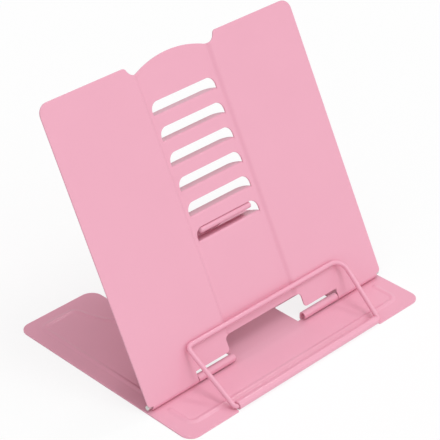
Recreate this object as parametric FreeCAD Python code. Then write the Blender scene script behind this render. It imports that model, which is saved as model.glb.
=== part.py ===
"""Folding sheet-steel book stand with a tilting back panel, a stepped prop and a wire page holder.

Millimetres, +Z up, +Y to the rear, +X to the right as a reader sees it.
The origin is on the floor, midway between the sides and midway between the front and rear edges.
"""

import FreeCAD
import Part

import math
import os

from FreeCAD import Vector

# Overall sizes
base_width = 200.0
base_depth = 151.0
panel_height = 183.1
panel_tilt = 62.08
sheet = 1.0

# Fits and clearances
pin_fit = 0.06
wire_fit = 0.08
side_gap = 0.6
seat_gap = 0.2

# Panel hinge: two short steel pins in rolled knuckles
hinge_setback = 36.0
pin_diameter = 3.0
pin_inset = 0.4
pin_reach = 25.0
panel_curl_start = 3.5
base_knuckle_start = 40.0
base_knuckle_width = 30.0
knuckle_bend = 0.7
tab_turn = 225.0

# Base windows behind the knuckles, and the cut-out for the prop
window_extra = 3.0
window_depth = 20.5
window_corner = 2.0
base_corner = 7.5
cutout_half_width = 40.0
cutout_depth = 17.5
cutout_corner = 8.5
notch_gap = 1.0

# Stiffening bead pressed into the base
bead_rise = 0.45
bead_width = 3.6
bead_side_inset = 12.9
bead_rear_inset = 10.0
bead_front_inset = 12.5
bead_corner = 5.0
bead_arc_radius = 63.5
bead_arc_inset = 1.1
bead_hinge_gap = 8.0

# Page holder: a steel wire loop whose ends turn in the rolled front edge
wire_diameter = 3.0
tube_start = 40.0
tube_turn = 300.0
wire_end_reach = 16.0
bail_length = 45.2
bail_left_corner = 3.5
bail_right_corner = 7.5
bail_right_splay = 8.3
bail_rest_gap = 0.25

# Back panel outline
panel_corner = 7.0
notch_height = 14.1
skirt_height = 5.0
lobe_inset = 65.4
lobe_radius = 2.2
foot_radius = 2.5
wing_end = 62.8
dip_inset = 71.0
dip_drop = 5.9
dip_radius = 6.0
crest_rise = 0.3

# Recessed channel with slots
channel_start = 68.2
channel_depth = 1.9
joggle_radius = 3.6
joggle_angle = 37.0
slot_count = 6
slot_pitch = 15.7
first_slot = 71.2
slot_height = 8.5
slot_half_width = 25.5
slot_corner = 5.5
ledge_bend = 1.0
ledge_depth = 9.4
ledge_turn = 85.0

# Prop behind the panel
prop_hinge_gap = 1.5
prop_knuckle_width = 13.0
prop_neck_half_width = 21.0
prop_nose_radius = 2.0
prop_nose_above_slot = 6.4
prop_nose_behind = 2.0
curl_turn = 290.0
nose_turn = 270.0
tongue_length = 10.0
tongue_bend = 4.0
shoulder_corner = 2.0
rib_half_spacing = 15.0
rib_width = 4.0
rib_rise = 0.9
rib_margin = 9.0

# Lengths below this count as nothing
negligible = 1e-4

# Derived places
half_width = base_width / 2
front_edge = -base_depth / 2
rear_edge = base_depth / 2
pin_radius = pin_diameter / 2
wire_radius = wire_diameter / 2
knuckle_radius = pin_radius + pin_fit + sheet
knuckle_mid = knuckle_radius - sheet / 2
knuckle_outer = half_width - base_knuckle_start
hinge_y = front_edge + hinge_setback
hinge_z = sheet + seat_gap + knuckle_radius
hinge_axis = Vector(0, hinge_y, hinge_z)
tube_radius = wire_radius + wire_fit + sheet
tube_y = front_edge + tube_radius
tube_z = tube_radius
tube_end = half_width - tube_start
cutout_front = rear_edge - cutout_depth
prop_axis_y = cutout_front - prop_hinge_gap
channel_face = knuckle_radius - channel_depth
nose_mid = prop_nose_radius - sheet / 2

along = Vector(0, math.cos(math.radians(panel_tilt)), math.sin(math.radians(panel_tilt)))
facing = Vector(0, -math.sin(math.radians(panel_tilt)), math.cos(math.radians(panel_tilt)))

x_axis = Vector(1, 0, 0)
y_axis = Vector(0, 1, 0)
z_axis = Vector(0, 0, 1)


# Flat outlines

def polar(centre, radius, angle):
    """A point of a circle, with the angle in degrees."""
    turn = math.radians(angle)
    return centre + Vector(radius * math.cos(turn), radius * math.sin(turn), 0)


def arc(centre, radius, start, end):
    """An arc edge from one angle to the other, in degrees."""
    middle = (start + end) / 2
    points = [polar(centre, radius, angle) for angle in (start, middle, end)]
    return Part.Arc(*points).toShape()


def rounded_path(corners, closed):
    """A wire through corners given as (x, y, radius), closed on itself or open."""
    edges = []
    joints = []
    count = len(corners)
    for index, (x, y, radius) in enumerate(corners):
        here = Vector(x, y, 0)
        before = Vector(*corners[index - 1][:2], 0)
        after = Vector(*corners[(index + 1) % count][:2], 0)
        to_before = (before - here).normalize()
        to_after = (after - here).normalize()
        half_turn = to_before.getAngle(to_after) / 2
        reach = radius / math.tan(half_turn) if radius > 0 else 0
        start = here + to_before * reach
        end = here + to_after * reach
        joints.append((start, end))
        if radius > 0:
            bisector = (to_before + to_after).normalize()
            centre = here + bisector * (radius / math.sin(half_turn))
            middle = centre - bisector * radius
            edges.append(Part.Arc(start, middle, end).toShape())
    for index in range(0 if closed else 1, count):
        start = joints[index - 1][1]
        end = joints[index][0]
        if start.distanceToPoint(end) > negligible:
            edges.append(Part.makeLine(start, end))
    return Part.Wire(Part.__sortEdges__(edges))


def symmetric_outline(corners):
    """A closed outline from its right half's corners, in order, and their mirror images."""
    others = [(-x, y, radius) for x, y, radius in reversed(corners)]
    return rounded_path(corners + others, True)


def plate_from(wire, thickness=sheet):
    """A flat plate standing on the outline."""
    return Part.Face(wire).extrude(Vector(0, 0, thickness))


def lines(*points):
    """Straight edges from each point, given as (x, y), to the next."""
    places = [Vector(x, y, 0) for x, y in points]
    return [Part.makeLine(start, end) for start, end in zip(places, places[1:])]


def mirrored(shape):
    """The same shape on the other side of the middle plane."""
    return shape.mirror(Vector(0, 0, 0), x_axis)


# Rolled and bent strips

def turned(direction, angle):
    """A direction in the section plane, turned by an angle in degrees."""
    turn = math.radians(angle)
    cos, sin = math.cos(turn), math.sin(turn)
    return Vector(direction.x * cos - direction.y * sin, direction.x * sin + direction.y * cos, 0)


def strip_face(start, heading, moves, thickness=sheet):
    """The section of a bent strip, in its own plane.

    The strip's middle line starts at a point and a heading in degrees.
    A move is ("line", length) or ("bend", radius, angle), where a positive angle turns left.
    """
    half = thickness / 2
    point = Vector(start[0], start[1], 0)
    direction = turned(Vector(1, 0, 0), heading)
    left, right = [], []
    for move in moves:
        side = turned(direction, 90)
        if move[0] == "line":
            after = point + direction * move[1]
            left.append(Part.makeLine(point + side * half, after + side * half))
            right.append(Part.makeLine(point - side * half, after - side * half))
            point = after
            continue
        radius, angle = move[1], move[2]
        sign = math.copysign(1, angle)
        centre = point + side * (radius * sign)
        spoke = side * -sign
        for edges, reach in ((left, radius - sign * half), (right, radius + sign * half)):
            stops = [centre + turned(spoke, angle * share) * reach for share in (0, 0.5, 1)]
            edges.append(Part.Arc(*stops).toShape())
        point = centre + turned(spoke, angle) * radius
        direction = turned(direction, angle)
    side = turned(direction, 90)
    first_side = turned(turned(Vector(1, 0, 0), heading), 90)
    origin = Vector(start[0], start[1], 0)
    caps = [
        Part.makeLine(origin + first_side * half, origin - first_side * half),
        Part.makeLine(point + side * half, point - side * half),
    ]
    return Part.Face(Part.Wire(Part.__sortEdges__(left + right + caps)))


def across(face, x_start, x_end):
    """Extrudes a section drawn as (y, z) from one x to another."""
    frame = FreeCAD.Matrix(0, 0, 1, x_start, 1, 0, 0, 0, 0, 1, 0, 0)
    placed = face.copy()
    placed.Placement = FreeCAD.Placement(frame)
    return placed.extrude(Vector(x_end - x_start, 0, 0))


# Base plate

def base_outline():
    """The flat blank with its corners, its rolled front edge set back and the rear cut-out."""
    throat = tube_y + tube_radius + notch_gap
    slit = tube_end + notch_gap
    return symmetric_outline([
        (tube_end, tube_y, 0),
        (tube_end, throat, 0),
        (slit, throat, 0),
        (slit, front_edge, notch_gap),
        (half_width, front_edge, base_corner),
        (half_width, rear_edge, base_corner),
        (cutout_half_width, rear_edge, cutout_corner),
        (cutout_half_width, cutout_front, 0),
    ])


def window_outline(root):
    """The opening that a knuckle's tab was cut from."""
    inner = base_knuckle_width + window_extra - knuckle_outer
    rear = root + window_depth
    corners = [
        (-knuckle_outer, root, 0),
        (inner, root, 0),
        (inner, rear, window_corner),
        (-knuckle_outer, rear, window_corner),
    ]
    return rounded_path(corners, True)


def bead_paths():
    """The bead's centre lines: a loop that swings round the prop's hinge, open at the panel's hinge line."""
    side = half_width - bead_side_inset
    front = front_edge + bead_front_inset
    rear = rear_edge - bead_rear_inset
    loop = Part.makePlane(2 * side, rear - front, Vector(-side, front, 0)).extrude(z_axis)
    swing_centre = Vector(0, rear_edge - bead_arc_inset, 0)
    loop = loop.cut(Part.makeCylinder(bead_arc_radius, 1, swing_centre))
    upright = [edge for edge in loop.Edges if edge.BoundBox.ZLength > negligible]
    loop = loop.makeFillet(bead_corner, upright)
    floor = [face for face in loop.Faces if face.BoundBox.ZMax < negligible]
    paths = []
    for start, end in ((front_edge, hinge_y - bead_hinge_gap), (hinge_y + bead_hinge_gap, rear_edge)):
        zone = Part.makeBox(base_width, end - start, 2 * sheet, Vector(-half_width, start, -sheet))
        paths.append(Part.Wire(Part.__sortEdges__(floor[0].OuterWire.common(zone).Edges)))
    return paths


def pressed_bead(path, width, rise):
    """A bead with round ends pressed up in a sheet that lies on Z = 0: its ridge, and the groove under it."""
    outer = (width * width / 4 + rise * rise) / (2 * rise)
    lowered = path.copy()
    lowered.translate(Vector(0, 0, sheet + rise - outer))
    first = lowered.OrderedEdges[0]
    start = first.valueAt(first.FirstParameter)
    heading = first.tangentAt(first.FirstParameter)
    ends = [lowered.OrderedVertexes[0].Point, lowered.OrderedVertexes[-1].Point]
    bars = []
    for radius in (outer, outer - sheet):
        section = Part.Wire(Part.makeCircle(radius, start, heading))
        bar = lowered.makePipeShell([section], True, False)
        bars.append(bar.fuse([Part.makeSphere(radius, end) for end in ends]))
    ridge, groove = bars
    room = path.BoundBox
    room.enlarge(width)
    above = Part.makeBox(room.XLength, room.YLength, sheet + rise, Vector(room.XMin, room.YMin, 0))
    return ridge.common(above), groove


def knuckle_root(axis_y):
    """Where the plate starts to bend up into the knuckle round an axis."""
    return axis_y + knuckle_mid - knuckle_bend - sheet / 2


def base_knuckle(x_start, x_end, axis_y):
    """A tab that rises from the plate behind the pin and rolls over it to the front."""
    bend = knuckle_bend + sheet / 2
    rise = hinge_z - sheet / 2 - bend
    moves = [("bend", bend, 90), ("line", rise), ("bend", knuckle_mid, tab_turn)]
    return across(strip_face((knuckle_root(axis_y), sheet / 2), 0, moves), x_start, x_end)


def rolled_front_edge():
    """The tube along the front, rolled up from the plate."""
    mid = tube_radius - sheet / 2
    start = (tube_y, sheet / 2)
    face = strip_face(start, 180, [("bend", mid, -tube_turn)])
    return across(face, -tube_end, tube_end)


def prop_knuckle_span():
    """The left knuckle of the prop's hinge, as its two x values."""
    outer = -cutout_half_width + side_gap
    return outer, outer + prop_knuckle_width


def base_plate():
    plate = plate_from(base_outline())
    root = knuckle_root(hinge_y)
    window = plate_from(window_outline(root))
    plate = plate.cut([window, mirrored(window)])
    for path in bead_paths():
        ridge, groove = pressed_bead(path, bead_width, bead_rise)
        plate = plate.fuse(ridge).cut(groove)
    hinge_tab = base_knuckle(-knuckle_outer, base_knuckle_width - knuckle_outer, hinge_y)
    prop_tab = base_knuckle(*prop_knuckle_span(), prop_axis_y)
    tabs = [hinge_tab, mirrored(hinge_tab), prop_tab, mirrored(prop_tab), rolled_front_edge()]
    return plate.fuse(tabs).removeSplitter()


# Back panel, drawn flat with its hinge axis along X through the origin and its front towards +Z

def s_curve(start, end, first_radius):
    """Two tangent arcs from one level stretch to another, the first with the given radius."""
    run = end.x - start.x
    rise = end.y - start.y
    turn = 2 * math.atan2(abs(rise), abs(run))
    total = abs(run) / math.sin(turn)
    upward = math.copysign(1, rise)
    along_x = math.copysign(1, run)
    first_centre = start + Vector(0, upward * first_radius, 0)
    last_radius = total - first_radius
    last_centre = end - Vector(0, upward * last_radius, 0)
    joint = first_centre + (last_centre - first_centre) * (first_radius / total)
    half = turn / 2

    def halfway(centre, radius, side):
        spoke = Vector(along_x * math.sin(half), -upward * math.cos(half), 0)
        return centre + spoke * (side * radius)

    first = Part.Arc(start, halfway(first_centre, first_radius, 1), joint).toShape()
    last = Part.Arc(joint, halfway(last_centre, last_radius, -1), end).toShape()
    return [first, last]


def s_curve_rest(start, end, first_radius):
    """The radius that the second arc of an s_curve takes."""
    turn = 2 * math.atan2(abs(end.y - start.y), abs(end.x - start.x))
    return abs(end.x - start.x) / math.sin(turn) - first_radius


def wavy_top():
    """The left half of the top edge: the crest in the middle, the dip beside it and the wing's start."""
    crest = Vector(0, panel_height + crest_rise, 0)
    dip = Vector(dip_inset - half_width, panel_height - dip_drop, 0)
    shoulder = Vector(wing_end - half_width, panel_height, 0)
    crest_radius = s_curve_rest(dip, crest, dip_radius)
    return s_curve(crest, dip, crest_radius) + s_curve(dip, shoulder, dip_radius)


def wing_side():
    """The left wing's edges, from the wavy top down to its foot."""
    corner = Vector(panel_corner - half_width, panel_height - panel_corner, 0)
    foot = Vector(foot_radius - half_width, foot_radius, 0)
    edges = lines((wing_end - half_width, panel_height), (corner.x, panel_height))
    edges.append(arc(corner, panel_corner, 90, 180))
    edges += lines((-half_width, corner.y), (-half_width, foot.y))
    edges.append(arc(foot, foot_radius, 180, 270))
    return edges


def stepped_foot():
    """The left half of the lower edge: the curl's width, the skirt past the knuckle, a lobe and the notch."""
    curl_end = -knuckle_outer - side_gap
    lobe = Vector(lobe_inset - half_width, skirt_height + lobe_radius, 0)
    step = lobe.x + lobe_radius
    bay = Vector(step + lobe_radius, notch_height - lobe_radius, 0)
    edges = lines((foot_radius - half_width, 0), (curl_end, 0), (curl_end, skirt_height))
    edges += lines((curl_end, skirt_height), (lobe.x, skirt_height))
    edges.append(arc(lobe, lobe_radius, -90, 0))
    edges += lines((step, lobe.y), (step, bay.y))
    edges.append(arc(bay, lobe_radius, 180, 90))
    edges += lines((bay.x, notch_height), (0, notch_height))
    return edges


def panel_outline():
    """The panel's flat outline: level wings, a wavy top over the channel and a stepped foot."""
    left = wavy_top() + wing_side() + stepped_foot()
    right = [edge.mirror(Vector(0, 0, 0), x_axis) for edge in left]
    return Part.Wire(Part.__sortEdges__(left + right))


def joggled_sheet():
    """The panel's sheet with its recessed channel, as wide as the panel and taller than it."""
    drop_bends = 2 * joggle_radius * (1 - math.cos(math.radians(joggle_angle)))
    slope = (channel_depth - drop_bends) / math.sin(math.radians(joggle_angle))
    wing = channel_start
    moves = [
        ("line", wing),
        ("bend", joggle_radius, -joggle_angle),
        ("line", slope),
        ("bend", joggle_radius, joggle_angle),
    ]
    run_bends = 2 * joggle_radius * math.sin(math.radians(joggle_angle))
    run = run_bends + slope * math.cos(math.radians(joggle_angle))
    moves.append(("line", half_width - wing - run))
    half_face = strip_face((-half_width, knuckle_mid), 0, moves)
    upright = FreeCAD.Matrix(1, 0, 0, 0, 0, 0, -1, 0, 0, 1, 0, 0)
    half_face.Placement = FreeCAD.Placement(upright)
    half_sheet = half_face.extrude(Vector(0, panel_height * 2, 0))
    half_sheet.translate(Vector(0, -panel_height / 2, 0))
    return half_sheet.fuse(mirrored(half_sheet))


def slot_places():
    return [first_slot + slot_pitch * number for number in range(slot_count)]


def ledge_root(place):
    """Where the sheet starts to bend into the ledge of the slot at a place."""
    return place + sheet / 2 - ledge_bend


def slot_cutter(place):
    """The slot with its ledge's root, cut through the channel."""
    outline = symmetric_outline([
        (slot_half_width, ledge_root(place), 0),
        (slot_half_width, place + slot_height, slot_corner),
    ])
    cutter = plate_from(outline, 2 * knuckle_radius)
    cutter.translate(Vector(0, 0, -knuckle_radius))
    return cutter


def ledge(place):
    """A slot's tab, bent to the rear and a little upward, with the slot's rounded corners at its edge."""
    level = channel_face - sheet / 2
    reach = ledge_depth - ledge_bend - sheet / 2
    moves = [("bend", ledge_bend, -ledge_turn), ("line", reach)]
    tab = across(strip_face((ledge_root(place), level), 0, moves), -slot_half_width, slot_half_width)
    outline = symmetric_outline([
        (slot_half_width, knuckle_radius, 0),
        (slot_half_width, level - ledge_bend - reach, slot_corner),
    ])
    keeper = Part.Face(outline).extrude(Vector(0, 0, -2 * (ledge_bend + sheet)))
    keeper.rotate(Vector(0, 0, 0), x_axis, 90)
    keeper.translate(Vector(0, ledge_root(place) - sheet, 0))
    return tab.common(keeper)


def panel_curl():
    """The sheet's lower edge, rolled to the rear round the pin."""
    face = strip_face((0, knuckle_mid), 180, [("bend", knuckle_mid, curl_turn)])
    return across(face, panel_curl_start - half_width, -knuckle_outer - side_gap)


def onto_panel(shape):
    """Moves a shape from the panel's flat frame to its place on the stand."""
    placed = shape.copy()
    placed.rotate(Vector(0, 0, 0), x_axis, panel_tilt)
    placed.translate(hinge_axis)
    return placed


def back_panel():
    blank = plate_from(panel_outline(), 4 * knuckle_radius)
    blank.translate(Vector(0, 0, -2 * knuckle_radius))
    panel = joggled_sheet().common(blank)
    panel = panel.cut([slot_cutter(place) for place in slot_places()])
    curl = panel_curl()
    pieces = [ledge(place) for place in slot_places()] + [curl, mirrored(curl)]
    return onto_panel(panel.fuse(pieces).removeSplitter())


# Prop

def on_panel(height, behind):
    """A point of the side view, at a height up the panel and a depth behind the channel's face."""
    place = hinge_axis + along * height + facing * (channel_face - behind)
    return Vector(place.y, place.z, 0)


def nose_centre():
    """The centre of the tongue's rolled nose, in the lowest slot."""
    return on_panel(first_slot + prop_nose_above_slot, prop_nose_behind)


def prop_lines():
    """The prop's section from its hinge: plate angle, plate length and tongue angle."""
    hinge = Vector(prop_axis_y, hinge_z, 0)
    tongue_direction = Vector(facing.y, facing.z, 0)
    tip = nose_centre() + turned(tongue_direction, -90) * nose_mid
    knee = tip - tongue_direction * tongue_length
    reach = hinge.distanceToPoint(knee)
    sight = math.degrees(math.atan2(knee.y - hinge.y, knee.x - hinge.x))
    plate_angle = sight + math.degrees(math.asin(knuckle_mid / reach))
    tongue_angle = math.degrees(math.atan2(tongue_direction.y, tongue_direction.x))
    return plate_angle, math.sqrt(reach * reach - knuckle_mid * knuckle_mid), tongue_angle


def prop_section():
    """Knuckle, plate, tongue and rolled nose in one strip."""
    plate_angle, plate_length, tongue_angle = prop_lines()
    knee_turn = tongue_angle - plate_angle
    trim = tongue_bend * math.tan(math.radians(abs(knee_turn)) / 2)
    hinge = Vector(prop_axis_y, hinge_z, 0)
    start = hinge + turned(Vector(knuckle_mid, 0, 0), plate_angle - 90 - curl_turn)
    moves = [
        ("bend", knuckle_mid, curl_turn),
        ("line", plate_length - trim),
        ("bend", tongue_bend, knee_turn),
        ("line", tongue_length - trim),
        ("bend", nose_mid, nose_turn),
    ]
    return strip_face((start.x, start.y), plate_angle - curl_turn, moves)


def onto_prop(shape):
    """Moves a shape from the prop's flat frame, Y up the plate and the plate's sheet round Z = 0."""
    plate_angle = prop_lines()[0]
    placed = shape.copy()
    placed.translate(Vector(0, 0, -knuckle_mid))
    placed.rotate(Vector(0, 0, 0), x_axis, plate_angle)
    placed.translate(Vector(0, prop_axis_y, hinge_z))
    return placed


def prop_keeper(half, length):
    """The prop's outline from the rear: a broad plate with shoulders and a narrower tongue."""
    outline = symmetric_outline([
        (half, -2 * knuckle_radius, 0),
        (half, length, shoulder_corner),
        (prop_neck_half_width, length, shoulder_corner),
        (prop_neck_half_width, length + 2 * tongue_length, 0),
    ])
    keeper = plate_from(outline, 2 * length)
    keeper.translate(Vector(0, 0, -length))
    return keeper


def prop_rib(x, length):
    """A straight rib pressed out towards the prop's rear, as its ridge and its groove."""
    path = Part.Wire(lines((x, rib_margin), (x, length - rib_margin)))
    shapes = []
    for shape in pressed_bead(path, rib_width, rib_rise):
        shape.translate(Vector(0, 0, -sheet / 2))
        shape.rotate(Vector(x, 0, 0), y_axis, 180)
        shapes.append(onto_prop(shape))
    return shapes


def support_prop():
    inner_knuckle = prop_knuckle_span()[1] + side_gap
    length = prop_lines()[1]
    prop = across(prop_section(), inner_knuckle, -inner_knuckle)
    prop = prop.common(onto_prop(prop_keeper(-inner_knuckle, length)))
    for x in (-rib_half_spacing, rib_half_spacing):
        ridge, groove = prop_rib(x, length)
        prop = prop.fuse(ridge).cut(groove)
    return prop.removeSplitter()


# Pins and page holder

def hinge_pin(x_start, x_end, axis_y):
    length = x_end - x_start
    return Part.makeCylinder(pin_radius, length, Vector(x_start, axis_y, hinge_z), x_axis)


def left_panel_pin():
    start = -half_width + pin_inset
    return hinge_pin(start, pin_reach - knuckle_outer, hinge_y)


def prop_pin():
    return hinge_pin(-cutout_half_width + side_gap, cutout_half_width - side_gap, prop_axis_y)


def bail_path():
    """The wire loop's centre line, flat: turned-in ends, legs and top bar, with the right leg splayed."""
    root_bend = wire_radius + side_gap
    leg = tube_end + root_bend
    inner_end = tube_end - wire_end_reach
    corners = [
        (-inner_end, 0, 0),
        (-leg, 0, root_bend),
        (-leg, bail_length, bail_left_corner),
        (leg + bail_right_splay, bail_length, bail_right_corner),
        (leg, 0, root_bend),
        (inner_end, 0, 0),
    ]
    return rounded_path(corners, False), Vector(-inner_end, 0, 0)


def bail_rise():
    """The angle at which the loop's top bar leans on the panel's face."""
    pivot = Vector(0, tube_y, tube_z) - hinge_axis
    drop = pivot.dot(facing) - knuckle_radius - wire_radius - bail_rest_gap
    return panel_tilt - math.degrees(math.asin(drop / bail_length))


def page_bail():
    path, end = bail_path()
    section = Part.Wire(Part.makeCircle(wire_radius, end, x_axis))
    wire = path.makePipeShell([section], True, False)
    wire.rotate(Vector(0, 0, 0), x_axis, bail_rise())
    wire.translate(Vector(0, tube_y, tube_z))
    return wire


def build():
    left_pin = left_panel_pin()
    return {
        "base_plate": base_plate(),
        "back_panel": back_panel(),
        "support_prop": support_prop(),
        "page_bail": page_bail(),
        "left_panel_pin": left_pin,
        "right_panel_pin": mirrored(left_pin),
        "prop_pin": prop_pin(),
    }


os.makedirs("parts", exist_ok=True)
for name, shape in build().items():
    solids = shape.Solids
    solid = solids[0] if len(solids) == 1 else shape
    print(name, len(solids), solid.isValid(), round(solid.Volume, 1))
    solid.exportStep("parts/" + name + ".step")
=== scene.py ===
"""Visual model of a folding sheet-steel book stand with a wire page holder.

Every sheet piece is drawn in millimetres as the middle surface of its steel, cut and bent as
the real blank is, and gets its thickness and rounded rims at the end.
"""

import logging
import math
from dataclasses import dataclass
from enum import Enum
from typing import Any, Sequence

import bmesh
import bpy
from bmesh.types import BMEdge, BMesh, BMVert
from mathutils import Matrix, Vector


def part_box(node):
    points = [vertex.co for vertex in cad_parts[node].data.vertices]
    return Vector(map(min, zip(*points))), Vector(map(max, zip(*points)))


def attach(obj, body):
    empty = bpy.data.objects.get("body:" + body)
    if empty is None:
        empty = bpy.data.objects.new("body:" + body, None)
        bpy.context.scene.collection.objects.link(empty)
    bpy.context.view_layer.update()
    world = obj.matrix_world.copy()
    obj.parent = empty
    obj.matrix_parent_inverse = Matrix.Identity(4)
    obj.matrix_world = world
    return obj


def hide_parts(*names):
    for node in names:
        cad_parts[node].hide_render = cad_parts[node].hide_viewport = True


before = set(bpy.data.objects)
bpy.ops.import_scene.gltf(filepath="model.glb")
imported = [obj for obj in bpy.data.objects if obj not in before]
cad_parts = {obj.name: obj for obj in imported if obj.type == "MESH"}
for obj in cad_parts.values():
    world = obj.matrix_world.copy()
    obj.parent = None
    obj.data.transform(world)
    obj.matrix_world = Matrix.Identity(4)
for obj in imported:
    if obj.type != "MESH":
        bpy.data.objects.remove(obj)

LOG = logging.getLogger("book_stand")

MILLIMETRE = 0.001
X_AXIS = Vector((1, 0, 0))
Y_AXIS = Vector((0, 1, 0))
Z_AXIS = Vector((0, 0, 1))
SAME_PLACE = 0.003
ON_LINE = 0.03
PAST_ROW = 0.01
SHORTEST_EDGE = 0.22
BEAD_STEPS = 12
ROUND_END_STEPS = 14
BEND_STEPS = 4
SHADING_WEIGHT = 50
WHITE = (1.0, 1.0, 1.0, 1.0)

Corner = tuple[float, float, float]
Colour = tuple[float, float, float]


class Body(Enum):
    """The moving groups of the stand."""

    BASE = "base"
    PANEL = "panel"
    PROP = "prop"
    HOLDER = "bail"


class Slot(Enum):
    """The finishes that the record names."""

    SHEET = "coated_sheet"
    WIRE = "coated_wire"
    PIN = "bare_pin"


# Drawing and bending


class Turtle:
    """Pulls a vertex or a row of edges along straight strokes and arcs in one plane.

    A single vertex leaves an outline behind it, and a row of edges leaves a sheet.
    """

    facet_angle = 9.0
    facet_length = 3.0
    fewest_facets = 2

    def __init__(
        self, mesh: BMesh, start: Vector, heading: Vector, axis: Vector, drawn: Sequence[Any],
    ) -> None:
        """Sets the turtle down.

        Args:
            mesh: The mesh it draws in.
            start: Where it stands.
            heading: The direction it looks in.
            axis: The normal of its plane, round which it turns left.
            drawn: The vertices and edges that it pulls.
        """
        self.mesh = mesh
        self.place = Vector(start)
        self.heading = Vector(heading).normalized()
        self.axis = axis
        self.drawn = list(drawn)

    def _pull(self, centre: Vector, angle: float, step: Vector, steps: int) -> None:
        """Pulls what it holds round a centre, or straight on where the angle is nothing.

        Args:
            centre: The arc's centre.
            angle: The whole turn, in degrees.
            step: How far each step goes straight on.
            steps: The number of steps.
        """
        made = bmesh.ops.spin(
            self.mesh, geom=self.drawn, cent=centre, axis=self.axis, dvec=step,
            angle=math.radians(angle), steps=steps, use_merge=False, use_duplicate=False,
        )
        self.drawn = made["geom_last"]

    def forward(self, length: float, steps: int = 1) -> "Turtle":
        """Goes straight on.

        Args:
            length: The stroke's length.
            steps: How many edges it is made of.

        Returns:
            The turtle.
        """
        if length > SAME_PLACE:
            self._pull(self.place, 0, self.heading * (length / steps), steps)
            self.place = self.place + self.heading * length
        return self

    def turn(self, radius: float, angle: float) -> "Turtle":
        """Goes along an arc that starts straight on.

        Args:
            radius: The arc's radius.
            angle: The turn in degrees, positive to the left.

        Returns:
            The turtle.
        """
        side = self.axis.cross(self.heading) * math.copysign(1, angle)
        centre = self.place + side * radius
        arc = radius * math.radians(abs(angle))
        by_angle, by_length = abs(angle) / self.facet_angle, arc / self.facet_length
        steps = max(self.fewest_facets, math.ceil(by_angle), math.ceil(by_length))
        self._pull(centre, angle, Vector(), steps)
        rotation = Matrix.Rotation(math.radians(angle), 3, self.axis)
        self.place = centre + rotation @ (self.place - centre)
        self.heading = rotation @ self.heading
        return self

    def along(self, corners: Sequence[Corner]) -> "Turtle":
        """Goes through rounded corners in the XY plane to the last one.

        Args:
            corners: Each corner's x, y and radius.

        Returns:
            The turtle.
        """
        places = [self.place.copy()] + [Vector((x, y, self.place.z)) for x, y, _ in corners]
        used = 0.0
        for number in range(1, len(places)):
            stroke = places[number] - places[number - 1]
            self.heading = stroke.normalized()
            radius = corners[number - 1][2]
            angle = 0.0
            if radius > 0 and number + 1 < len(places):
                after = places[number + 1] - places[number]
                angle = math.degrees(math.atan2(stroke.cross(after).z, stroke.dot(after)))
            trim = radius * math.tan(math.radians(abs(angle)) / 2)
            self.forward(stroke.length - used - trim)
            if angle:
                self.turn(radius, angle)
            used = trim
        return self


def pen(mesh: BMesh, x: float, y: float, heading: Vector = X_AXIS, level: float = 0.0) -> Turtle:
    """A turtle that draws an outline from a new vertex.

    Args:
        mesh: The mesh it draws in.
        x: The first vertex's x.
        y: The first vertex's y.
        heading: The direction it looks in.
        level: The height of the plane it draws in.

    Returns:
        The turtle.
    """
    first = mesh.verts.new((x, y, level))
    return Turtle(mesh, first.co, heading, Z_AXIS, [first])


def mirror_over_middle(mesh: BMesh) -> None:
    """Adds the other half of all that is drawn, across the middle plane.

    Args:
        mesh: The mesh that is drawn in.
    """
    everything = [*mesh.verts, *mesh.edges, *mesh.faces]
    bmesh.ops.mirror(
        mesh, geom=everything, matrix=Matrix.Identity(4), merge_dist=SAME_PLACE, axis="X",
    )
    bmesh.ops.remove_doubles(mesh, verts=mesh.verts, dist=SAME_PLACE)


def fill_blank(mesh: BMesh) -> None:
    """Fills the plate between every edge that lacks a face on one side."""
    rim = [edge for edge in mesh.edges if len(edge.link_faces) < 2]
    bmesh.ops.triangle_fill(
        mesh, use_beauty=True, use_dissolve=False, edges=rim, normal=Z_AXIS,
    )


def cut_across(mesh: BMesh, place: Vector, normal: Vector) -> None:
    """Cuts every face along a plane.

    Args:
        mesh: The mesh to cut.
        place: A point of the plane.
        normal: The plane's normal.
    """
    everything = [*mesh.verts, *mesh.edges, *mesh.faces]
    bmesh.ops.bisect_plane(
        mesh, geom=everything, dist=SAME_PLACE, plane_co=place, plane_no=normal,
    )


def edges_on(mesh: BMesh, y: float, x_start: float, x_end: float) -> list[BMEdge]:
    """Finds the rim's edges along a line of constant y.

    Args:
        mesh: The mesh to look in.
        y: The line's y.
        x_start: The lower end of its x range.
        x_end: The upper end of its x range.

    Returns:
        The edges with one face whose ends both lie on the line.
    """
    def lies(vert: BMVert) -> bool:
        """Whether a vertex is on the line."""
        within = x_start - PAST_ROW < vert.co.x < x_end + PAST_ROW
        return within and abs(vert.co.y - y) < ON_LINE

    rim = [edge for edge in mesh.edges if len(edge.link_faces) == 1]
    return [edge for edge in rim if lies(edge.verts[0]) and lies(edge.verts[1])]


def roll(mesh: BMesh, edges: Sequence[BMEdge], heading: Vector) -> Turtle:
    """A turtle that pulls a straight row of edges into a bent strip, in the plane across X.

    Args:
        mesh: The mesh it draws in.
        edges: The row of edges, along X.
        heading: The direction it looks in.

    Returns:
        The turtle.
    """
    verts = list(dict.fromkeys(vert for edge in edges for vert in edge.verts))
    start = verts[0].co * Vector((0, 1, 1))
    return Turtle(mesh, start, heading, X_AXIS, [*verts, *edges])


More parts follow.
